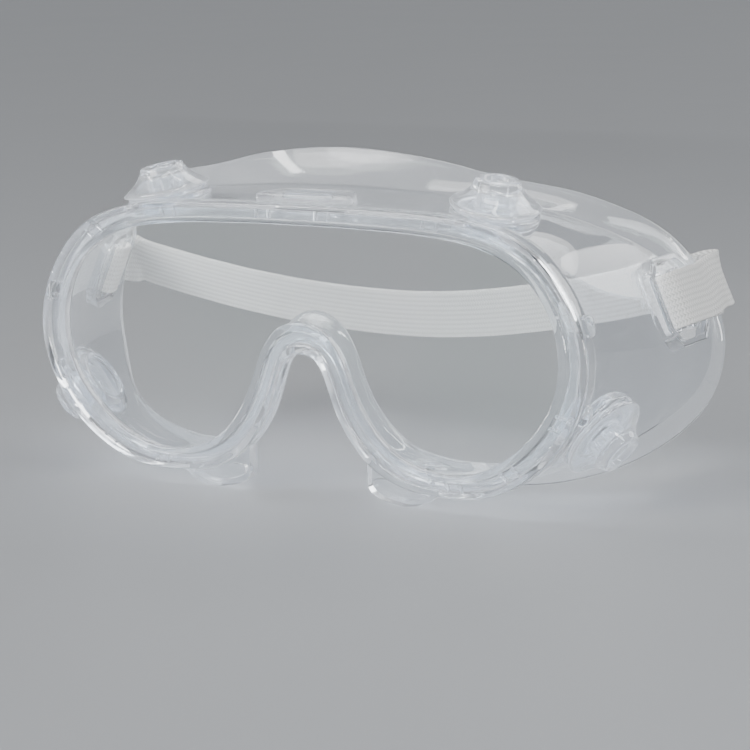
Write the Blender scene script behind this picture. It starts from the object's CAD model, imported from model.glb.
"""Clear safety goggles: a one-piece moulding with a sealing flange, a flat lens sheet, four capped
valves and a knitted elastic strap.

The front faces -Y and the strap closes behind at +Y. +X is the side called right, +Z is up.
Shapes are worked out in millimetres and built in metres.
"""
import math

import bmesh
import bpy
import numpy as np
from mathutils import Matrix, Vector


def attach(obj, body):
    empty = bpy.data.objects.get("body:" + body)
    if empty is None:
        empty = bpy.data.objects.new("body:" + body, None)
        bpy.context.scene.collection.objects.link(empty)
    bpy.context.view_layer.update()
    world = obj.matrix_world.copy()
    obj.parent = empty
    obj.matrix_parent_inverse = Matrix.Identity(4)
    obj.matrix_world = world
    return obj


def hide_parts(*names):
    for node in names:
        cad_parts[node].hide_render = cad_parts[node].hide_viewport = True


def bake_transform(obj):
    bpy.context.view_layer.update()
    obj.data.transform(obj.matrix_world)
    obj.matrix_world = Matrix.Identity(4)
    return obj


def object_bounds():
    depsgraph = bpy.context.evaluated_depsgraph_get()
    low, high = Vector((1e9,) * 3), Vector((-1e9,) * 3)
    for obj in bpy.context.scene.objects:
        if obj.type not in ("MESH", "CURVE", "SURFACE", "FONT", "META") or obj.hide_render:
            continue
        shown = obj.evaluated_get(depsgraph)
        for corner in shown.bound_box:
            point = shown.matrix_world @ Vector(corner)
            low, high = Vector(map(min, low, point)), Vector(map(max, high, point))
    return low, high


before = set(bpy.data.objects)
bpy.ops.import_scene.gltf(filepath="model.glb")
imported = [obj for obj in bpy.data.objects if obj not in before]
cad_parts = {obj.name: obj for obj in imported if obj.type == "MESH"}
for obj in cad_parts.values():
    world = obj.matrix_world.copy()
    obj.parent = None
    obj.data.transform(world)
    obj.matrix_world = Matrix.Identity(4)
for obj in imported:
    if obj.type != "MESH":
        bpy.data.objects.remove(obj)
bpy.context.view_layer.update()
MM = 0.001

# ------------------------------------------------------------------ contours
# Right half of the frame, from top centre round to the nose. Columns: edge of the lens
# opening (x, z), outside of the rim (x, z), crease of the flange (x, y, z), rear edge (x, y, z).
ROWS = [
    ((0, 32.4), (0, 37.8), (0, 22.0, 39.8), (0, 28.0, 49.4)),
    ((10, 32.4), (10, 37.8), (10, 22.1, 39.7), (10, 28.2, 49.0)),
    ((20, 32.2), (20, 37.7), (20, 22.6, 39.3), (20, 28.7, 47.9)),
    ((30, 31.9), (30.5, 37.5), (30, 24.0, 38.6), (30.5, 29.8, 46.1)),
    ((39, 31.3), (40.5, 37.1), (40.3, 26.2, 37.6), (41, 31.6, 43.5)),
    ((48, 30.2), (51, 35.9), (51, 28.6, 36.0), (52, 34.0, 41.3)),
    ((56.5, 28.0), (61.5, 33.0), (62, 31.6, 33.6), (63, 37.2, 39.0)),
    ((64, 24.0), (70, 28.0), (71.7, 36.0, 29.6), (73.2, 41.6, 35.0)),
    ((69.5, 18.6), (76.3, 20.8), (80.6, 43.6, 23.6), (82.3, 48.4, 28.8)),
    ((73.2, 12.0), (80.5, 13.2), (87.9, 50.4, 15.8), (89.7, 54.2, 19.4)),
    ((74.9, 5.5), (82.8, 5.5), (92.5, 53.4, 7.6), (94.6, 56.8, 9.0)),
    ((75.2, -1.0), (83.2, -1.8), (94.8, 53.6, -1.0), (97.0, 57.2, -1.4)),
    ((73.8, -8.0), (81.6, -9.6), (94.3, 52.4, -8.8), (96.4, 56.0, -11.0)),
    ((70.4, -14.8), (78.0, -17.5), (91.3, 49.0, -15.6), (92.8, 53.0, -20.4)),
    ((65.5, -20.6), (72.6, -24.8), (85.3, 42.6, -22.2), (86.6, 46.2, -27.6)),
    ((59.5, -25.6), (65.5, -30.8), (76.8, 35.6, -27.6), (77.8, 38.8, -33.2)),
    ((52.5, -29.3), (57.0, -35.0), (66.0, 30.0, -31.4), (66.6, 33.0, -37.2)),
    ((45.0, -31.0), (48.0, -36.9), (54.0, 25.0, -33.2), (54.2, 27.8, -39.0)),
    ((38.0, -30.6), (39.0, -36.9), (42.6, 19.4, -33.0), (42.6, 22.0, -37.6)),
    ((31.5, -28.8), (30.0, -35.7), (32.2, 14.6, -30.8), (31.8, 17.0, -33.2)),
    ((26.0, -25.6), (21.5, -31.8), (24.6, 11.4, -27.0), (24.4, 13.8, -27.4)),
    ((21.2, -20.6), (15.0, -25.4), (18.2, 9.6, -21.8), (19.0, 11.9, -20.8)),
    ((17.3, -14.2), (10.6, -18.0), (13.6, 8.6, -15.2), (15.0, 10.8, -13.4)),
    ((14.4, -7.6), (7.9, -10.6), (10.8, 8.1, -8.6), (12.6, 10.3, -6.0)),
    ((11.7, -1.2), (5.6, -5.0), (8.0, 8.0, -3.0), (10.3, 10.0, 0.4)),
    ((7.0, 4.4), (3.0, -2.7), (4.5, 8.0, -0.1), (6.2, 10.0, 5.7)),
    ((0, 6.5), (0, -2.0), (0, 8.0, 1.0), (0, 10.0, 7.8)),
]
SPAN_STEPS = 5  # points per span between rows

RIM_DEPTH = 6.4
FRONT_LIP = 1.9
REAR_LIP = 1.5
LENS_THICKNESS = 2.0
LENS_GAP = 0.06
WALL_THICKNESS = 1.7
FLANGE_THICKNESS = 1.1
GROOVE_BACK = FRONT_LIP + LENS_THICKNESS + 2 * LENS_GAP
WALL_START = 0.76  # where the wall leaves the rim, as a share of the rim's width
FLANGE_SAG = 0.35


def unit(a):
    return a / np.maximum(np.linalg.norm(a, axis=-1, keepdims=True), 1e-9)


def whole_ring(half):
    """A right half closed into a full ring by its mirror image."""
    half = np.array(half, float)
    return np.vstack([half, half[1:-1][::-1] * [-1, 1, 1]])


def smooth_ring(points):
    """Periodic cubic spline through a ring."""
    n = len(points)
    system = np.zeros((n, n))
    for i in range(n):
        system[i, i] = 4
        system[i, (i + 1) % n] = system[i, (i - 1) % n] = 1
    bend = np.linalg.solve(system, 6 * (np.roll(points, -1, 0) - 2 * points + np.roll(points, 1, 0)))
    following, bend_next = np.roll(points, -1, 0), np.roll(bend, -1, 0)
    steps = []
    for k in range(SPAN_STEPS):
        f = k / SPAN_STEPS
        g = 1 - f
        steps.append(g * points + f * following + (g ** 3 - g) / 6 * bend
                     + (f ** 3 - f) / 6 * bend_next)
    return np.stack(steps, 1).reshape(-1, points.shape[1])


OPENING = smooth_ring(whole_ring([(row[0][0], 0, row[0][1]) for row in ROWS]))
OUTSIDE = smooth_ring(whole_ring([(row[1][0], 0, row[1][1]) for row in ROWS]))
CREASE = smooth_ring(whole_ring([row[2] for row in ROWS]))
EDGE = smooth_ring(whole_ring([row[3] for row in ROWS]))
COUNT = len(EDGE)
RADIAL = unit(OUTSIDE - OPENING)


def bow_share(i):
    """How far the wall bows out at point i: none over the first five rows, full three rows on."""
    row = min(i / SPAN_STEPS, 2 * (len(ROWS) - 1) - i / SPAN_STEPS)
    return 0.0 if row < 5 else min(1.0, (row - 5) / 3.0)


BOW = np.array([bow_share(i) for i in range(COUNT)])[:, None]


def band(across, y):
    """Ring on the rim: across is 0 at the lens opening and 1 at the outside."""
    ring = OPENING + across * (OUTSIDE - OPENING)
    ring[:, 1] = y
    return ring


def normals(before, ring, after):
    return unit(np.cross(np.roll(ring, -1, 0) - np.roll(ring, 1, 0), after - before))


# Four rings carry the wall from the rim to the crease, at these shares of the way.
WALL_SHARES = (0.0, 0.33, 0.68, 1.0)
WALL_FOOT = band(WALL_START, RIM_DEPTH + 0.6)


def bowed(share, height):
    base = WALL_FOOT + (CREASE - WALL_FOOT) * share
    return base + normals(WALL_FOOT, base, CREASE) * height * BOW


WALL_LOW = bowed(WALL_SHARES[1], 0.9)
WALL_HIGH = bowed(WALL_SHARES[2], 0.8)
CREASE_NORMAL = normals(WALL_HIGH, CREASE, EDGE)
EDGE_NORMAL = normals(CREASE, EDGE, CREASE + (EDGE - CREASE) * 2)
OUTER_WALL = (WALL_FOOT, WALL_LOW, WALL_HIGH, CREASE)
INNER_WALL = (
    WALL_FOOT - normals(band(WALL_START, RIM_DEPTH - 4), WALL_FOOT, CREASE) * WALL_THICKNESS,
    WALL_LOW - normals(WALL_FOOT, WALL_LOW, WALL_HIGH) * WALL_THICKNESS,
    WALL_HIGH - normals(WALL_LOW, WALL_HIGH, CREASE) * WALL_THICKNESS,
    CREASE - CREASE_NORMAL * 0.5 * (WALL_THICKNESS + FLANGE_THICKNESS),
)


def wall_ring(rings, share):
    """Lagrange interpolation through the four rings of a wall."""
    result = np.zeros_like(rings[0])
    for own, ring in zip(WALL_SHARES, rings):
        weight = 1.0
        for other in WALL_SHARES:
            if other != own:
                weight *= (share - other) / (own - other)
        result += ring * weight
    return result


# ------------------------------------------------------------- mesh building
# A solid is a pair (vertices in millimetres, faces).
def shade(piece, angle):
    """Smooth shading, with edges sharper than the angle (degrees) kept sharp."""
    mesh = piece.data
    mesh.polygons.foreach_set("use_smooth", [True] * len(mesh.polygons))
    mesh.set_sharp_from_angle(angle=math.radians(angle))
    mesh.update()


def new_object(name, verts, faces, angle=35):
    """A shaded object from vertices in metres, its faces turned outwards."""
    mesh = bpy.data.meshes.new(name)
    mesh.from_pydata([tuple(v) for v in verts], [], [tuple(f) for f in faces])
    mesh.validate()
    mesh.update()
    work = bmesh.new()
    work.from_mesh(mesh)
    bmesh.ops.recalc_face_normals(work, faces=work.faces)
    work.to_mesh(mesh)
    work.free()
    piece = bpy.data.objects.new(name, mesh)
    bpy.context.scene.collection.objects.link(piece)
    shade(piece, angle)
    return piece


def joined(name, solids):
    """One object from several solids."""
    verts, faces, base = [], [], 0
    for v, f in solids:
        verts.append(np.asarray(v) * MM)
        faces += [tuple(i + base for i in face) for face in f]
        base += len(v)
    return new_object(name, np.vstack(verts), faces)


def boolean(piece, other, operation):
    """Join other to the piece or cut it away, and remove it."""
    modifier = piece.modifiers.new(operation.lower(), "BOOLEAN")
    modifier.operation = operation
    modifier.object = other
    modifier.solver = "EXACT"
    graph = bpy.context.evaluated_depsgraph_get()
    mesh = bpy.data.meshes.new_from_object(piece.evaluated_get(graph))
    piece.modifiers.clear()
    piece.data = mesh
    bpy.data.objects.remove(other)


def ring_quads(size, rings, closed=False):
    """Quads joining successive rings of size points; closed also joins the last to the first."""
    quads = []
    for a in range(rings if closed else rings - 1):
        b = (a + 1) % rings
        for i in range(size):
            j = (i + 1) % size
            quads.append((a * size + i, a * size + j, b * size + j, b * size + i))
    return quads


def lathe(profile, segments=72):
    """Solid of revolution from (radius, z) points that start and end on the axis."""
    verts, faces, rows = [], [], []
    for radius, z in profile:
        if radius < 1e-6:
            rows.append([len(verts)])
            verts.append((0, 0, z))
            continue
        rows.append(list(range(len(verts), len(verts) + segments)))
        for s in range(segments):
            angle = 2 * math.pi * s / segments
            verts.append((radius * math.cos(angle), radius * math.sin(angle), z))
    for a, b in zip(rows, rows[1:]):
        for s in range(segments):
            t = (s + 1) % segments
            if len(a) == 1:
                faces.append((a[0], b[t], b[s]))
            elif len(b) == 1:
                faces.append((a[s], a[t], b[0]))
            else:
                faces.append((a[s], a[t], b[t], b[s]))
    return np.array(verts, float), faces


def lathe_ring(profile, segments=96):
    """Solid of revolution from a closed (radius, z) loop clear of the axis."""
    loop = np.array(profile, float)
    n = len(loop)
    angle = 2 * math.pi * np.arange(segments) / segments
    verts = np.stack([loop[None, :, 0] * np.cos(angle)[:, None],
                      loop[None, :, 0] * np.sin(angle)[:, None],
                      np.repeat(loop[None, :, 1], segments, 0)], -1).reshape(-1, 3)
    faces = []
    for t in range(segments):
        u = (t + 1) % segments
        for k in range(n):
            j = (k + 1) % n
            faces.append((t * n + k, u * n + k, u * n + j, t * n + j))
    return verts, faces


def prism(outline, bottom, top, bevel=0.0):
    """An outline extruded along z, optionally with a bevelled top."""
    outline = np.asarray(outline, float)
    levels = [(outline, bottom)]
    if bevel:
        centre = outline.mean(0)
        reach = np.abs(outline - centre).max(0).min()
        levels.append((outline, top - bevel))
        for share in (0.35, 1):
            inset = centre + (outline - centre) * (1 - share * bevel / reach)
            levels.append((inset, top - 0.35 * bevel if share < 1 else top))
    else:
        levels.append((outline, top))
    n = len(outline)
    verts = np.vstack([np.c_[points, np.full(n, z)] for points, z in levels])
    caps = [tuple(range(n))[::-1], tuple(range((len(levels) - 1) * n, len(levels) * n))]
    return verts, caps + ring_quads(n, len(levels))


def rounded(points, radius, steps=4):
    """A polygon with its corners rounded."""
    points = [np.array(p, float) for p in points]
    result = []
    for i, b in enumerate(points):
        a, c = points[i - 1], points[(i + 1) % len(points)]
        u, v = unit(a - b), unit(c - b)
        r = min(radius, np.linalg.norm(a - b) * 0.45, np.linalg.norm(c - b) * 0.45)
        for k in range(steps + 1):
            f = k / steps
            result.append((1 - f) ** 2 * (b + u * r) + 2 * f * (1 - f) * b + f * f * (b + v * r))
    return np.array(result)


def rectangle(half_x, half_y, centre_x=0.0):
    return [(centre_x - half_x, -half_y), (centre_x + half_x, -half_y),
            (centre_x + half_x, half_y), (centre_x - half_x, half_y)]


def octagon(length, width, cut):
    """Width along x, length along y."""
    a, b = width / 2, length / 2
    c = cut * 0.8
    return [(-a, -b + cut), (-a + c, -b), (a - c, -b), (a, -b + cut),
            (a, b - cut), (a - c, b), (-a + c, b), (-a, b - cut)]


def placement(x_axis, y_axis, z_axis, origin):
    matrix = np.eye(4)
    matrix[:3, 0], matrix[:3, 1], matrix[:3, 2] = x_axis, y_axis, z_axis
    matrix[:3, 3] = origin
    return matrix


def axis_placement(origin, normal, x_hint):
    """Placement whose z runs along the normal and whose x leans to the hint."""
    normal = unit(np.array(normal, float))
    x = np.array(x_hint, float)
    x = unit(x - normal * x.dot(normal))
    return placement(x, np.cross(normal, x), normal, origin)


def placed(solid, matrix):
    verts, faces = solid
    return verts @ matrix[:3, :3].T + matrix[:3, 3], faces


def mirrored(solid):
    verts, faces = solid
    return verts * [-1, 1, 1], [tuple(face)[::-1] for face in faces]


def both_sides(solid):
    return [solid, mirrored(solid)]


def register(piece, body, cad_piece):
    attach(piece, body)
    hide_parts(cad_piece)


# --------------------------------------------------------------- the moulding
# Places on the right side; z points away from the wall.
VALVES = {
    "upper": axis_placement((50.09132, 16.8808, 35.27583), (0.174115, -0.073688, 0.981964),
                            (0, 1, 0)),
    "lower": axis_placement((78.49978, 16.33173, -19.35872), (0.80019, -0.17004, -0.575137),
                            (0, 1, 0)),
}
LUG = axis_placement((88.90962, 41.9322, 10.40549), (0.8997006, -0.1857277, 0.395024),
                     (0.1865737, 0.981757, 0.0366534))

# Rim section from the opening, over the channelled front, to the wall: (across, y).
RIM = [
    (0.0, 1.2), (0.0, 0.55), (0.02, 0.2), (0.07, 0.0), (0.2, 0.0), (0.26, 0.12), (0.30, 0.7),
    (0.34, 0.95), (0.66, 0.95), (0.70, 0.7), (0.74, 0.12), (0.80, 0.0), (0.92, 0.0), (0.97, 0.2),
    (1.0, 0.7), (1.0, 1.5), (1.0, 3.5), (1.0, RIM_DEPTH - 1.0), (0.985, RIM_DEPTH - 0.45),
    (0.94, RIM_DEPTH - 0.1), (0.86, RIM_DEPTH + 0.02), (0.79, RIM_DEPTH + 0.2),
]
# Behind the lens and round its groove, back to the opening: (across, y).
LENS_GROOVE = [
    (0.30, GROOVE_BACK + REAR_LIP + 0.5), (0.24, GROOVE_BACK + REAR_LIP),
    (0.17, GROOVE_BACK + 0.7), (0.16, GROOVE_BACK + 0.3), (0.16, GROOVE_BACK),
    (0.66, GROOVE_BACK), (0.66, FRONT_LIP), (0.0, FRONT_LIP),
]
# Shares of the way along each surface at which a ring is set.
OUTER_WALL_RINGS = (0.0, 0.06, 0.16, 0.27, 0.38, 0.5, 0.62, 0.74, 0.85, 0.93, 0.975)
OUTER_FLANGE_RINGS = (0.03, 0.12, 0.3, 0.5, 0.7, 0.88)
INNER_FLANGE_RINGS = (0.85, 0.6, 0.35, 0.12)
INNER_WALL_RINGS = (0.97, 0.9, 0.8, 0.68, 0.55, 0.42, 0.3, 0.18, 0.08, 0.0)

# Valve collar and the stepped hole through it, (radius, z).
COLLAR = [
    (0, -2.6), (11.0, -2.6), (11.45, -2.45), (11.6, -2.0), (11.6, -0.7), (11.75, -0.35),
    (11.85, 0.0), (11.8, 0.4), (11.5, 0.75), (11.0, 0.9), (0, 0.9),
]
VALVE_HOLE = [(0, -12.6), (9.1, -12.6), (9.1, -2.6), (8.0, -2.6), (8.0, 0.9), (11.4, 0.9),
              (11.4, 13), (0, 13)]

# Strap lug: two slots either side of a bar.
BAR_HALF_WIDTH = 2.2
SLOT_HALF_WIDTH = 1.7
SLOT_HALF_LENGTH = 8.3

# Hollow tab under the rim, (x, z), extruded along y.
SWAP_YZ = np.array([[1, 0, 0, 0], [0, 0, 1, 0], [0, 1, 0, 0], [0, 0, 0, 1]], float)
TAB = [(18.2, -28.0), (18.2, -36.6), (19.4, -38.4), (22.0, -39.8), (28.5, -41.1), (33.0, -40.6),
       (37.0, -39.0), (39.0, -36.9), (39.2, -35.7), (30.3, -34.6), (22.2, -31.0)]
TAB_HOLLOW = [(19.8, -34.5), (19.8, -36.6), (23.0, -38.3), (28.5, -39.6), (32.5, -39.1),
              (36.0, -37.9), (36.2, -37.5), (30.0, -36.5), (23.6, -34.2)]

# Boss on top at the centre and the recess in it, (x, y).
BOSS = [(-15, 4.5), (15, 4.5), (11, 14.5), (-11, 14.5)]
BOSS_RECESS = [(-6, 7.0), (6, 7.0), (7.2, 7.5), (7.7, 8.7), (7.2, 9.9), (6, 10.4), (-6, 10.4),
               (-7.2, 9.9), (-7.7, 8.7), (-7.2, 7.5)]

# Knobbed peg at the lower right of the rim, (radius, z).
PEG = [(0, -0.2), (0.9, -0.2), (0.8, 2.2), (0.75, 3.3), (1.15, 3.7), (1.42, 4.3), (1.45, 4.7),
       (1.2, 5.4), (0.7, 5.85), (0, 6.0)]
PEG_PLACE = axis_placement((38.2, 0.5, -33.6), (-0.05, 0, 1), (0, 1, 0))

# Nearest points (x, z) for the pairs of cross ribs and for the grip lugs.
RIB_PLACES = (
    (40.7, 34.3), (63.0, 28.0), (77.8, 11.0), (60.0, -28.4), (73.0, -13.5), (8.0, 35.1),
    (-40.7, 34.3), (-63.0, 28.0), (-77.8, 11.0), (-60.0, -28.4), (-73.0, -13.5), (-10.0, 35.1),
    (45.0, -33.5), (-45.0, -33.5),
)
RIB_OFFSET = 1.9  # either side of the place
GRIP_PLACES = ((81.4, 10.6), (80.2, -13.6), (-81.4, 10.6), (-80.2, -13.6))
GRIP_Y = 4.4


def moulding_rings():
    """The section of the moulding, ring by ring, from the front round to the lens groove."""
    rings = [band(across, y) for across, y in RIM]
    rings += [wall_ring(OUTER_WALL, share) for share in OUTER_WALL_RINGS]

    def sag(share):
        return CREASE_NORMAL * FLANGE_SAG * math.sin(math.pi * share)

    flange = EDGE - CREASE
    rings += [CREASE + flange * share - sag(share) for share in OUTER_FLANGE_RINGS]
    # rounded tip of the flange
    outward = unit(flange)
    inner_edge = EDGE - EDGE_NORMAL * FLANGE_THICKNESS
    rings += [
        EDGE - outward * 0.15,
        EDGE - EDGE_NORMAL * 0.18 + outward * 0.1,
        (EDGE + inner_edge) / 2 + outward * 0.28,
        inner_edge + EDGE_NORMAL * 0.18 + outward * 0.1,
        inner_edge - outward * 0.15,
    ]
    inner_crease = INNER_WALL[3]
    rings += [inner_crease + (inner_edge - inner_crease) * share - sag(share)
              for share in INNER_FLANGE_RINGS]
    rings += [wall_ring(INNER_WALL, share) for share in INNER_WALL_RINGS]
    rings += [band(across, y) for across, y in LENS_GROOVE]
    return rings


def nearest(contour, x, z):
    return int(np.argmin(np.linalg.norm(contour - [x, 0, z], axis=1)))


def channel_ribs():
    """Pairs of small ribs across the channel in the rim's front."""
    middle = band(0.5, 0.0)
    ribs = []
    for x, z in RIB_PLACES:
        i = nearest(middle, x, z)
        along = unit(middle[(i + 1) % COUNT] - middle[i - 1])
        half_length = 0.25 * np.linalg.norm(OUTSIDE[i] - OPENING[i])
        rib = prism(rounded(rectangle(0.4, half_length), 0.15, 2), -1.4, -0.25)
        for side in (-1, 1):
            ribs.append(placed(rib, placement(along, RADIAL[i], np.cross(along, RADIAL[i]),
                                              middle[i] + along * side * RIB_OFFSET)))
    return ribs


def grip_lugs():
    """Small rounded lugs on the rim's outer edge."""
    grip = prism(rounded(rectangle(3.0, 1.7), 1.5, 5), -1.0, 1.9, bevel=1.1)
    grips = []
    for x, z in GRIP_PLACES:
        i = nearest(OUTSIDE, x, z)
        out = RADIAL[i]
        along = unit(OUTSIDE[(i + 1) % COUNT] - OUTSIDE[i - 1])
        along = unit(along - out * along.dot(out))
        grips.append(placed(grip, placement(along, np.cross(out, along), out,
                                            OUTSIDE[i] + [0, GRIP_Y, 0])))
    return grips


def lug_slots():
    slots = []
    for side in (-1, 1):
        centre = side * (BAR_HALF_WIDTH + SLOT_HALF_WIDTH)
        outline = rectangle(SLOT_HALF_WIDTH, SLOT_HALF_LENGTH, centre)
        slots.append(placed(prism(rounded(outline, 0.9), -6, 6), LUG))
    return slots


def make_moulding():
    rings = moulding_rings()
    piece = new_object("frame_moulding", np.vstack(rings) * MM,
                       ring_quads(COUNT, len(rings), closed=True))

    tab = placed(prism(rounded(TAB, 1.4), 2.2, 6.2), SWAP_YZ)
    tab_hollow = placed(prism(rounded(TAB_HOLLOW, 0.8), 0.5, 4.7), SWAP_YZ)
    boss = prism(rounded(BOSS, 1.6, 5), 35.6, 40.2, bevel=0.7)
    boss_recess = prism(rounded(BOSS_RECESS, 0.7, 3), 38.4, 42.4)
    lug = placed(prism(rounded(octagon(24.5, 18.0, 4.2), 1.2), -2.3, 2.6, bevel=0.6), LUG)
    lug_well = placed(prism(rounded(octagon(21.3, 14.8, 3.6), 1.0), 0.9, 3.6), LUG)
    slots = lug_slots()

    additions = both_sides(tab) + [boss] + both_sides(lug)
    additions += [placed(lathe(PEG, 32), PEG_PLACE)] + channel_ribs()
    cuts = both_sides(tab_hollow) + [boss_recess] + slots + [mirrored(slot) for slot in slots]
    for place in VALVES.values():
        additions += both_sides(placed(lathe(COLLAR), place))
        cuts += both_sides(placed(lathe(VALVE_HOLE), place))

    boolean(piece, joined("grips", grip_lugs()), "UNION")
    boolean(piece, joined("adds", additions), "UNION")
    boolean(piece, joined("cuts_a", cuts), "DIFFERENCE")
    # the wells overlap the slots, so they are cut on their own
    boolean(piece, joined("cuts_b", both_sides(lug_well)), "DIFFERENCE")
    shade(piece, 38)
    register(piece, "frame", "frame_body")
    return piece


# ------------------------------------------------------------------- the lens
def make_lens():
    """Flat sheet with chamfered edges, held in the rim's groove."""
    angle = 30
    chamfer = 0.15
    front = FRONT_LIP + LENS_GAP
    back = front + LENS_THICKNESS
    rings = [band(0.57, front), band(0.60, front + chamfer), band(0.60, back - chamfer),
             band(0.57, back)]
    caps = [tuple(range(COUNT))[::-1], tuple(range(3 * COUNT, 4 * COUNT))]
    piece = new_object("lens_sheet", np.vstack(rings) * MM, ring_quads(COUNT, 4) + caps, angle)
    work = bmesh.new()
    work.from_mesh(piece.data)
    bmesh.ops.triangulate(work, faces=[face for face in work.faces if len(face.verts) > 4])
    work.to_mesh(piece.data)
    work.free()
    shade(piece, angle)
    register(piece, "frame", "lens")
    return piece


# ------------------------------------------------------------------ the strap
STRAP_WIDTH = 15.0
STRAP_THICKNESS = 1.2
STRAP_RIBS = 10
STRAP_X = 95.9  # outermost x of the centre line
STRAP_Y = 61.0  # y of the run across the back
CORNER = 2.9  # radius where the strap turns across the back
CORNER_CUT = CORNER * 0.29  # inset of the corner's middle
FOLD_Z = {"right": 14.0, "left": 9.0}  # height at the corner
MIDDLE_Z = -1.3  # height at the middle of the back
BACK_POINTS = 22
LUG_X, LUG_UP, LUG_OUT, LUG_CENTRE = LUG[:3, 0], LUG[:3, 1], LUG[:3, 2], LUG[:3, 3]
BACK_UP = np.array([0, -0.342, 0.94])  # width direction across the back
# Centre line threaded through the lug's slots: (along the lug's x, out from the lug).
THREADS = {
    "right": [
        (13.8, 3.5), (12.0, 3.4), (10.0, 3.4), (7.0, 3.3), (4.9, 2.4), (3.95, 0.2), (3.6, -1.9),
        (2.2, -3.45), (0.0, -3.65), (-2.2, -3.45), (-3.6, -1.9), (-3.95, 0.2), (-3.6, 2.6),
        (-2.2, 4.3), (0.5, 4.95), (4.0, 5.1), (8.0, 5.15),
    ],
    "left": [
        (-20.0, 3.3), (-16.0, 3.6), (-12.0, 3.55), (-8.0, 3.45), (-5.6, 2.9), (-4.1, 1.2),
        (-3.8, -1.2), (-2.6, -3.25), (0.0, -3.65), (2.6, -3.25), (3.8, -1.2), (4.1, 1.2),
        (5.4, 2.9), (8.0, 3.5),
    ],
}
REPLACED = {"right": ("strap_end_right", "strap_band"), "left": ("strap_end_left",)}


def open_spline(points, step=0.35):
    """Natural cubic spline with chord-length parameters, sampled evenly."""
    p = np.array(points, float)
    chord = np.linalg.norm(np.diff(p, axis=0), axis=1)
    t = np.r_[0, np.cumsum(chord)]
    n = len(p)
    system, target = np.eye(n), np.zeros((n, 3))
    for i in range(1, n - 1):
        before, after = chord[i - 1], chord[i]
        system[i, i - 1], system[i, i], system[i, i + 1] = before, 2 * (before + after), after
        target[i] = 6 * ((p[i + 1] - p[i]) / after - (p[i] - p[i - 1]) / before)
    bend = np.linalg.solve(system, target)
    s = np.arange(0, t[-1], step)
    i = np.clip(np.searchsorted(t, s, "right") - 1, 0, n - 2)
    a, b = (t[i + 1] - s)[:, None], (s - t[i])[:, None]
    span = chord[i][:, None]
    return ((bend[i] * a ** 3 + bend[i + 1] * b ** 3) / (6 * span)
            + (p[i] / span - bend[i] * span / 6) * a
            + (p[i + 1] / span - bend[i + 1] * span / 6) * b)


def strap_path(side):
    """Centre line and width directions, from the threaded end to the middle of the back.

    Both sides are laid out on +X.
    """
    fold_z = FOLD_Z[side]
    points = [LUG_CENTRE + LUG_X * along + LUG_OUT * out for along, out in THREADS[side]]
    points += [np.array(p) for p in (
        (STRAP_X - 0.35, STRAP_Y - 6.5, fold_z - 0.1),
        (STRAP_X, STRAP_Y - CORNER, fold_z),
        (STRAP_X - CORNER_CUT, STRAP_Y - CORNER_CUT, fold_z),
        (STRAP_X - CORNER, STRAP_Y, fold_z),
    )]
    reach = STRAP_X - CORNER - 1.3
    for k in range(BACK_POINTS):
        x = reach * (1 - k / (BACK_POINTS - 1))
        q = abs(x) / reach
        drop = 1 - q * q * (1.5 - 0.5 * q) if side == "right" else 1 - q * q
        points.append(np.array([x, STRAP_Y - 3.2 * (1 - q ** 2) ** 2,
                                fold_z + (MIDDLE_Z - fold_z) * drop]))
    run = np.vstack([open_spline(points), points[-1]])
    widths = []
    for x, y, _ in run:
        # the width turns from the lug's direction to the back's just past the corner
        turn = 0.0
        if y > STRAP_Y - CORNER * 0.6 or x < 80:
            turn = max(0.0, min(1.0, (STRAP_X - CORNER_CUT - x) / 6.0))
        turn = turn * turn * (3 - 2 * turn)
        widths.append(LUG_UP * (1 - turn) + BACK_UP * turn)
    return run, np.array(widths)


def strap_section():
    """Closed ribbed section: (across from -1 to 1, offset from the centre line)."""
    across = np.linspace(-1, 1, 8 * STRAP_RIBS + 1)
    half = (STRAP_THICKNESS / 2) * 0.93
    edge = np.sqrt(np.clip(1 - np.clip((np.abs(across) - 0.955) / 0.045, 0, 1) ** 2, 0, 1))
    rib_height = 0.06
    rib = rib_height * np.abs(np.sin(math.pi * STRAP_RIBS * (across + 1) / 2))
    offset = (half - rib_height + rib) * (0.25 + 0.75 * edge)
    return list(zip(across, offset)) + list(zip(across[::-1], -offset[::-1]))


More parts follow.
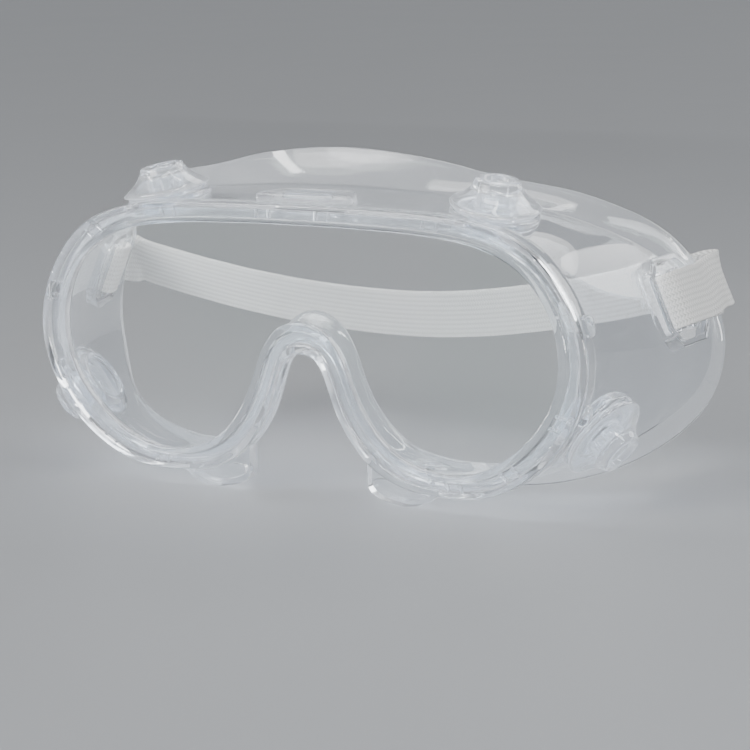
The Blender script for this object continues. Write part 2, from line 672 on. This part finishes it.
def strap_mesh(name, side):
    """One side of the strap; its "weave" UVs are millimetres across and along."""
    run, widths = strap_path(side)
    tangent = unit(np.gradient(run, axis=0))
    tangent[-1] = [-1, 0, 0]
    width = unit(widths - tangent * (widths * tangent).sum(1)[:, None])
    normal = np.cross(tangent, width)
    section = strap_section()
    n, count = len(section), len(run)
    s = np.r_[0, np.cumsum(np.linalg.norm(np.diff(run, axis=0), axis=1))]
    # slight unevenness of the edges
    wave = 1 + 0.0035 * np.sin(s * 1.1) + 0.003 * np.sin(s * 0.37 + 1)
    verts = np.zeros((count, n, 3))
    for j, (across, offset) in enumerate(section):
        verts[:, j] = (run + width * (across * (STRAP_WIDTH / 2 - 0.1) * wave)[:, None]
                       + normal * offset)
    verts = verts.reshape(-1, 3)

    faces = ring_quads(n, count)
    u = [across * STRAP_WIDTH / 2 for across, _ in section]
    uvs = []
    for i in range(count - 1):
        for j in range(n):
            k = (j + 1) % n
            uvs.append(((u[j], s[i]), (u[k], s[i]), (u[k], s[i + 1]), (u[j], s[i + 1])))
    for i, at_start in ((0, True), (count - 1, False)):
        for j in range(n // 2 - 1):
            quad = (i * n + j, i * n + j + 1, i * n + n - 2 - j, i * n + n - 1 - j)
            faces.append(quad if at_start else quad[::-1])
            uvs.append(((u[j], s[i]),) * 4)

    if side == "left":
        verts = verts * [-1, 1, 1]
    mesh = bpy.data.meshes.new(name)
    mesh.from_pydata([tuple(p) for p in verts * MM], [], faces)
    layer = mesh.uv_layers.new(name="weave")
    layer.data.foreach_set("uv", [value for face in uvs for uv in face for value in uv])
    mesh.update()
    if side == "left":
        mesh.flip_normals()
    piece = bpy.data.objects.new(name, mesh)
    bpy.context.scene.collection.objects.link(piece)
    shade(piece, 60)
    return piece


def make_strap(side):
    piece = strap_mesh("strap_" + side, side)
    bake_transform(piece)
    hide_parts(*REPLACED[side])
    return piece


# ----------------------------------------------------------------- the valves
# Closed section of the seat, (radius, z).
SEAT = [
    (5.05, 0.93), (5.05, 1.70), (5.2, 1.83), (6.2, 1.83), (6.5, 1.70), (9.2, 1.70), (9.5, 1.83),
    (10.4, 1.83), (10.75, 1.72), (10.9, 1.45), (10.9, 1.15), (10.75, 0.97), (10.5, 0.93),
    (7.95, 0.93), (7.95, -2.65), (8.55, -2.66), (8.7, -2.8), (8.7, -3.1), (8.45, -3.6),
    (7.9, -4.35), (7.6, -4.5), (6.9, -4.5), (6.7, -4.35), (6.7, 0.8), (6.55, 0.93),
]
# Section of the cap, from the axis outside to the axis inside, (radius, z).
CAP = [
    (0, 7.8), (2.5, 7.8), (3.1, 7.9), (3.45, 8.25), (3.7, 8.95), (4.0, 9.3), (4.5, 9.4),
    (5.2, 9.38), (5.75, 9.2), (6.0, 8.8), (6.15, 8.2), (6.6, 7.4), (7.3, 6.45), (8.2, 5.5),
    (9.2, 4.7), (10.2, 4.05), (11.1, 3.5), (11.75, 3.05), (11.98, 2.75), (11.98, 2.5),
    (11.85, 2.33), (11.6, 2.32), (11.2, 2.5), (10.2, 2.95), (9.2, 3.45), (8.2, 4.15),
    (7.2, 5.05), (6.4, 5.95), (5.75, 6.5), (5.3, 6.6), (5.02, 6.3), (5.0, 2.65), (5.2, 2.45),
    (5.6, 2.4), (5.7, 2.3), (5.7, 2.0), (5.6, 1.9), (5.0, 1.89), (5.0, 0.84), (5.4, 0.83),
    (5.45, 0.7), (5.4, 0.5), (4.8, -0.2), (4.55, -0.27), (4.0, -0.27), (3.9, -0.15), (3.9, 6.1),
    (3.75, 6.4), (3.4, 6.5), (0, 6.5),
]


def make_valve(key, place, flip):
    """Seat and cap; two crossed slots open windows in the cap's stem."""
    seat = joined("seat_" + key, [flip(placed(lathe_ring(SEAT), place))])
    shade(seat, 40)
    register(seat, "frame", "valve_seat_" + key)

    cap = joined("cap_" + key, [flip(placed(lathe(CAP, 96), place))])
    slot = rounded(rectangle(6.5, 1.6), 0.2, 2)
    for outline in (slot, slot[::-1, ::-1]):
        cutter = flip(placed(prism(outline, 2.75, 5.35), place))
        boolean(cap, joined("cross", [cutter]), "DIFFERENCE")
    shade(cap, 40)
    register(cap, "cap_" + key, "valve_cap_" + key)
    return seat, cap


# --------------------------------------------------------------- shader nodes
def set_input(tree, socket, value):
    if isinstance(value, bpy.types.NodeSocket):
        tree.links.new(value, socket)
    else:
        socket.default_value = value


def node(tree, kind, output=0, settings=None, **inputs):
    """Add a node and return one output. Inputs take values or sockets; _ stands for a space."""
    new = tree.nodes.new("ShaderNode" + kind)
    for name, value in (settings or {}).items():
        setattr(new, name, value)
    for name, value in inputs.items():
        set_input(tree, new.inputs[name.replace("_", " ")], value)
    return new.outputs[output]


def numbered(tree, kind, values, **settings):
    """Add a node whose inputs are given in order."""
    result = node(tree, kind, settings=settings)
    for socket, value in zip(result.node.inputs, values):
        set_input(tree, socket, value)
    return result


def mix_shader(tree, factor, first, second):
    return numbered(tree, "MixShader", (factor, first, second))


def calc(tree, operation, *values, clamp=False):
    return numbered(tree, "Math", values, operation=operation, use_clamp=clamp)


def ramp(tree, source, stops):
    """Colour ramp through (position, grey level or RGBA) stops."""
    result = node(tree, "ValToRGB", Fac=source)
    elements = result.node.color_ramp.elements

    def set_stop(element, stop):
        element.position = stop[0]
        element.color = stop[1] if isinstance(stop[1], tuple) else (*[stop[1]] * 3, 1)

    set_stop(elements[0], stops[0])
    set_stop(elements[1], stops[-1])
    for stop in stops[1:-1]:
        set_stop(elements.new(stop[0]), stop)
    return result


def colour_mix(tree, factor, first, second):
    return node(tree, "Mix", "Result", {"data_type": "RGBA"}, Factor=factor, A=first, B=second)


def output(tree, surface, kind="Material"):
    target = tree.nodes.new("ShaderNodeOutput" + kind)
    tree.links.new(surface, target.inputs["Surface"])


def new_material(name):
    material = bpy.data.materials.new(name)
    material.use_nodes = True
    material.node_tree.nodes.clear()
    return material, material.node_tree


def assign(piece, material):
    piece.data.materials.clear()
    piece.data.materials.append(material)


# ------------------------------------------------------------------ materials
def clear_plastic(name, tint, roughness, haze, edge_haze, ior, shadow):
    """Clear plastic with light shadows.

    A milky haze grows by edge_haze at grazing angles, and in scuffs and specks.
    """
    material, tree = new_material(name)
    place = node(tree, "TexCoord", "Object")
    clouds = node(tree, "TexNoise", Vector=place, Scale=38.0, Detail=4.0, Roughness=0.55)
    scratches = node(tree, "TexNoise", Vector=place, Scale=160.0, Detail=6.0, Roughness=0.7,
                     Distortion=1.6)
    specks = node(tree, "TexVoronoi", "Distance", Vector=place, Scale=520.0)

    glass = node(
        tree, "BsdfPrincipled", Base_Color=tint, IOR=ior, Transmission_Weight=1.0,
        Roughness=ramp(tree, clouds, [(0.35, roughness * 0.5), (0.75, roughness * 1.8)]),
        Normal=node(tree, "Bump", Strength=0.06, Distance=0.0006, Height=clouds))
    haze_colour = (0.93, 0.95, 0.98, 1)
    milk = mix_shader(tree, 0.5, node(tree, "BsdfDiffuse", Color=haze_colour),
                      node(tree, "BsdfTranslucent", Color=haze_colour))

    facing = node(tree, "LayerWeight", "Facing", Blend=0.28)
    grazing = ramp(tree, facing, [(0.0, haze), (0.6, haze + edge_haze * 0.25),
                                  (1.0, haze + edge_haze)])
    scuffs = ramp(tree, scratches, [(0.55, 0.0), (0.72, 0.10)])
    dust = calc(tree, "MULTIPLY", ramp(tree, specks, [(0.0, 0.22), (0.10, 0.0)]),
                ramp(tree, clouds, [(0.5, 0.0), (0.62, 1.0)]))
    amount = calc(tree, "ADD", calc(tree, "ADD", grazing, scuffs), dust, clamp=True)
    plastic = mix_shader(tree, amount, glass, milk)
    shadow_pass = node(tree, "BsdfTransparent", Color=(shadow, shadow, shadow * 1.01, 1))
    output(tree, mix_shader(tree, node(tree, "LightPath", "Is Shadow Ray"), plastic, shadow_pass))
    return material


def lens_material():
    """Clear sheet with a faintly iridescent reflection and patches of dust."""
    material, tree = new_material("lens_clear")
    place = node(tree, "TexCoord", "Object")
    film = node(tree, "TexNoise", Vector=place, Scale=9.0, Detail=2.0, Distortion=0.8)
    specks = node(tree, "TexVoronoi", "Distance", Vector=place, Scale=420.0)
    patches = node(tree, "TexNoise", Vector=place, Scale=30.0, Detail=3.0)

    tint = ramp(tree, film, [(0.38, (0.80, 0.97, 0.93, 1)), (0.5, (0.95, 0.97, 1.0, 1)),
                             (0.62, (0.97, 0.88, 0.94, 1))])
    shine = node(tree, "BsdfGlossy", Roughness=0.03, Color=tint)
    through = node(tree, "BsdfTransparent", Color=(0.975, 0.985, 0.985, 1))
    fresnel_power, fresnel_gain, fresnel_base = 5.0, 0.95, 0.045
    facing = node(tree, "LayerWeight", "Facing", Blend=0.5)
    fresnel = calc(tree, "MULTIPLY_ADD", calc(tree, "POWER", facing, fresnel_power),
                   fresnel_gain, fresnel_base, clamp=True)
    sheet = mix_shader(tree, fresnel, through, shine)

    dust = calc(tree, "MULTIPLY", ramp(tree, specks, [(0.0, 0.25), (0.07, 0.0)]),
                ramp(tree, patches, [(0.52, 0.0), (0.66, 1.0)]))
    even_haze = 0.012
    haze = calc(tree, "ADD", dust, even_haze)
    output(tree, mix_shader(tree, haze, sheet,
                            node(tree, "BsdfDiffuse", Color=(0.95, 0.96, 0.97, 1))))
    return material


def strap_material():
    """White ribbed knit with zig-zag yarn, laid out on the weave UVs in millimetres."""
    row_pitch, row_tilt, cord_pitch = 0.8, 0.75, 0.5
    rib_pitch = STRAP_WIDTH / STRAP_RIBS
    # share of each pattern in the bump height and in the shading
    row_height, rib_height, cord_height, fuzz_height = 1.1, 0.6, 0.18, 0.7
    row_shade, rib_shade = 0.42, 0.62

    material, tree = new_material("elastic_knit")

    def add(a, b):
        return calc(tree, "ADD", a, b)

    def times(a, b):
        return calc(tree, "MULTIPLY", a, b)

    def sine(value):
        return calc(tree, "SINE", value)

    weave = node(tree, "UVMap", settings={"uv_map": "weave"})
    across, along, _ = node(tree, "SeparateXYZ", Vector=weave).node.outputs
    # rows run across the strap, tilted one way then the other within each rib
    zigzag = calc(tree, "PINGPONG", add(across, STRAP_WIDTH / 2), rib_pitch / 2)
    rows = sine(times(add(along, times(zigzag, row_tilt)), 2 * math.pi / row_pitch))
    ribs = calc(tree, "ABSOLUTE", sine(times(add(across, STRAP_WIDTH / 2), math.pi / rib_pitch)))
    cords = sine(times(across, 2 * math.pi / cord_pitch))
    place = node(tree, "TexCoord", "Object")
    fuzz = node(tree, "TexNoise", Vector=place, Scale=2600.0, Detail=3.0)
    soil = node(tree, "TexNoise", Vector=place, Scale=45.0, Detail=4.0)

    height = add(times(rows, row_height), add(times(ribs, rib_height), add(
        times(cords, cord_height), times(fuzz, fuzz_height))))
    depth = ramp(tree, add(times(rows, row_shade), times(ribs, rib_shade)),
                 [(0.0, 0.0), (0.3, 0.6), (0.75, 1.0)])
    yarn = colour_mix(tree, depth, (0.62, 0.615, 0.60, 1), (0.985, 0.98, 0.965, 1))
    soiled = colour_mix(tree, ramp(tree, soil, [(0.4, 0.0), (0.75, 0.35)]), yarn,
                        (0.90, 0.89, 0.865, 1))
    cloth = node(tree, "BsdfPrincipled", Roughness=0.82, Sheen_Weight=0.35, Base_Color=soiled,
                 Normal=node(tree, "Bump", Strength=0.55, Distance=0.00016, Height=height))
    glow = node(tree, "BsdfTranslucent", Color=(0.85, 0.85, 0.83, 1))
    glow_share = 0.12
    output(tree, mix_shader(tree, glow_share, cloth, glow))
    return material


def floor_material():
    material, tree = new_material("floor_pale")
    grain = node(tree, "TexNoise", Scale=60.0, Detail=5.0)
    # 0.55 is the middle of the roughness range that the grain drives
    matt = node(tree, "BsdfPrincipled", Base_Color=(0.31, 0.32, 0.335, 1), Roughness=0.55,
                Specular_IOR_Level=0.2)
    tree.links.new(ramp(tree, grain, [(0.3, 0.52), (0.7, 0.58)]), matt.node.inputs["Roughness"])
    output(tree, matt)
    return material


def mark_flange(moulding):
    """Give the faces beyond the crease the second, satin material."""
    polygons = moulding.data.polygons
    centres = np.zeros(3 * len(polygons))
    polygons.foreach_get("center", centres)
    centres = centres.reshape(-1, 3) / MM
    middle = (CREASE + EDGE) / 2
    near = np.zeros(len(centres), int)
    chunk = 4000  # faces at a time, to spare memory
    for k in range(0, len(centres), chunk):
        gaps = centres[k:k + chunk, None] - middle[None]
        near[k:k + chunk] = np.argmin((gaps ** 2).sum(2), 1)
    flange = (EDGE - CREASE)[near]
    offset = centres - CREASE[near]
    along = (offset * flange).sum(1) / (flange ** 2).sum(1)
    away = np.abs((offset * unit(CREASE_NORMAL[near] + EDGE_NORMAL[near])).sum(1))
    polygons.foreach_set("material_index", ((along > 0.06) & (away < 2.6)).astype(np.int32))


# -------------------------------------------------------------- build the goggles
moulding = make_moulding()
lens = make_lens()
straps = [make_strap(side) for side in ("right", "left")]
valves = []
for level, place in VALVES.items():
    valves.append(make_valve(level + "_right", place, lambda solid: solid))
    valves.append(make_valve(level + "_left", place, mirrored))

pvc = clear_plastic("clear_soft_pvc", tint=(0.93, 0.962, 1.0, 1), roughness=0.025, haze=0.03,
                    edge_haze=0.34, ior=1.42, shadow=0.84)
satin_pvc = clear_plastic("clear_soft_pvc_satin", tint=(0.93, 0.955, 0.98, 1), roughness=0.07,
                          haze=0.13, edge_haze=0.42, ior=1.42, shadow=0.80)
seat_plastic = clear_plastic("clear_valve_seat", tint=(0.91, 0.95, 1.0, 1), roughness=0.03,
                             haze=0.04, edge_haze=0.38, ior=1.46, shadow=0.82)
cap_plastic = clear_plastic("milky_valve_cap", tint=(0.93, 0.96, 0.99, 1), roughness=0.04,
                            haze=0.075, edge_haze=0.42, ior=1.48, shadow=0.74)
assign(moulding, pvc)
moulding.data.materials.append(satin_pvc)
mark_flange(moulding)
assign(lens, lens_material())
knit = strap_material()
for strap in straps:
    assign(strap, knit)
for seat, cap in valves:
    assign(seat, seat_plastic)
    assign(cap, cap_plastic)


# ------------------------------------------------------ floor, lights, camera
# Metres from here on.
# Area lights: name, location, target, (width, height), watts, colour, reflections only.
WHITE = (1, 1, 1)
CENTRE = (0, 0.02, 0)
AREA_LIGHTS = [
    ("key", (-0.45, -0.60, 0.55), CENTRE, (0.55, 0.40), 5.0, (1, 0.99, 0.97), False),
    ("top_back", (0.15, 0.55, 0.65), CENTRE, (0.9, 0.25), 4.0, WHITE, True),
    ("side_strip", (0.75, -0.1, 0.30), (0.03, 0.02, 0), (0.12, 0.6), 3.2, (0.95, 0.98, 1), False),
    ("shine_left", (-0.62, -0.30, 0.30), CENTRE, (0.05, 0.7), 5.0, WHITE, True),
    ("shine_front", (0.45, -0.62, 0.50), CENTRE, (0.7, 0.05), 5.0, WHITE, True),
    ("shine_top", (0.10, 0.10, 0.85), CENTRE, (0.8, 0.06), 2.5, WHITE, True),
    ("shine_brow", (0.12, -0.22, 0.80), (0.05, 0.03, 0.04), (0.5, 0.16), 2.8, WHITE, True),
    ("shine_low", (0.60, -0.10, 0.04), CENTRE, (0.05, 0.12), 1.0, WHITE, True),
]
# Soft suns: name, direction of the light, strength.
SUNS = [
    ("front_fill", (0.38, 0.80, -0.52), 2.25),
    ("back_fill", (-0.45, -0.75, -0.42), 1.6),
]
SUN_ANGLE = 0.6
# Dark flags: name, centre, facing, (width, height).
FLAGS = [
    ("flag_left", (-0.42, 0.05, 0.10), (1, 0.0, 0), (0.5, 0.34)),
    ("flag_right", (0.50, 0.16, 0.06), (-1, -0.2, 0), (0.4, 0.26)),
    ("flag_back", (-0.10, 0.75, 0.05), (0, -1, 0), (0.9, 0.16)),
]


def make_floor():
    low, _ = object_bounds()
    bpy.ops.mesh.primitive_plane_add(size=6.0, location=(0, 0, low[2] - 0.0002))
    floor = bpy.context.object
    floor.name = "floor"
    assign(floor, floor_material())


def make_world():
    """A vertical gradient lights the scene; the camera sees an even grey."""
    world = bpy.data.worlds.new("studio")
    bpy.context.scene.world = world
    world.use_nodes = True
    tree = world.node_tree
    tree.nodes.clear()
    height = node(tree, "SeparateXYZ", 2, Vector=node(tree, "TexCoord", "Generated"))
    sky = ramp(tree, height, [(0.0, (0.20, 0.205, 0.215, 1)), (0.75, (0.62, 0.63, 0.65, 1))])
    lighting = node(tree, "Background", Color=sky, Strength=0.55)
    seen = node(tree, "Background", Color=(0.33, 0.335, 0.345, 1), Strength=1.0)
    output(tree, mix_shader(tree, node(tree, "LightPath", "Is Camera Ray"), lighting, seen),
           "World")


def add_light(name, kind, direction, energy):
    """A light shining along the direction."""
    light = bpy.data.objects.new(name, bpy.data.lights.new(name, kind))
    light.data.energy = energy
    light.rotation_euler = direction.to_track_quat("-Z", "Y").to_euler()
    bpy.context.scene.collection.objects.link(light)
    return light


def make_lights():
    for name, location, target, size, watts, colour, shine_only in AREA_LIGHTS:
        light = add_light(name, "AREA", Vector(target) - Vector(location), watts)
        light.location = location
        light.data.shape = "RECTANGLE"
        light.data.size, light.data.size_y = size
        light.data.color = colour
        light.visible_diffuse = not shine_only
    for name, direction, strength in SUNS:
        add_light(name, "SUN", Vector(direction), strength).data.angle = SUN_ANGLE


def make_flag(name, centre, facing, size):
    """A dark studio flag, seen only in reflection and through the clear plastic."""
    z = unit(np.array(facing, float))
    x = unit(np.cross([0, 0, 1.0], z))
    y = np.cross(z, x)
    corners = [np.array(centre, float) + x * a * size[0] / 2 + y * b * size[1] / 2
               for a, b in ((-1, -1), (1, -1), (1, 1), (-1, 1))]
    flag = new_object(name, corners, [(0, 1, 2, 3)])
    material, tree = new_material(name)
    output(tree, node(tree, "BsdfDiffuse", Color=(0.012, 0.013, 0.015, 1)))
    assign(flag, material)
    flag.visible_camera = False
    flag.visible_shadow = False
    flag.visible_diffuse = False


def make_camera():
    azimuth, elevation, roll = (math.radians(d) for d in (31.19, 11.41, -2.22))
    distance = 0.721  # from the origin
    # slopes by which the aim passes to the right of the origin and below it
    aim_right, aim_down = 0.02780236, 0.01011959

    back = Vector((math.sin(azimuth) * math.cos(elevation),
                   -math.cos(azimuth) * math.cos(elevation), math.sin(elevation)))
    right = Vector((math.cos(azimuth), math.sin(azimuth), 0))
    up = back.cross(right)
    c, s = math.cos(roll), math.sin(roll)
    right, up = right * c + up * s, right * -s + up * c
    z_axis = -(right * aim_right - up * aim_down - back).normalized()
    x_axis = up.cross(z_axis).normalized()
    y_axis = z_axis.cross(x_axis)

    camera = bpy.data.objects.new("camera", bpy.data.cameras.new("camera"))
    bpy.context.scene.collection.objects.link(camera)
    camera.data.lens = 131.2464
    camera.data.sensor_width = 36
    camera.data.clip_start = 0.01
    rows = [(x_axis[i], y_axis[i], z_axis[i], back[i] * distance) for i in range(3)]
    camera.matrix_world = Matrix(rows + [(0, 0, 0, 1)])
    bpy.context.scene.camera = camera


make_floor()
make_world()
make_lights()
for flag in FLAGS:
    make_flag(*flag)
make_camera()

cycles = bpy.context.scene.cycles
cycles.max_bounces = 16
cycles.transmission_bounces = 16
cycles.transparent_max_bounces = 24
cycles.glossy_bounces = 6

bpy.context.view_layer.update()
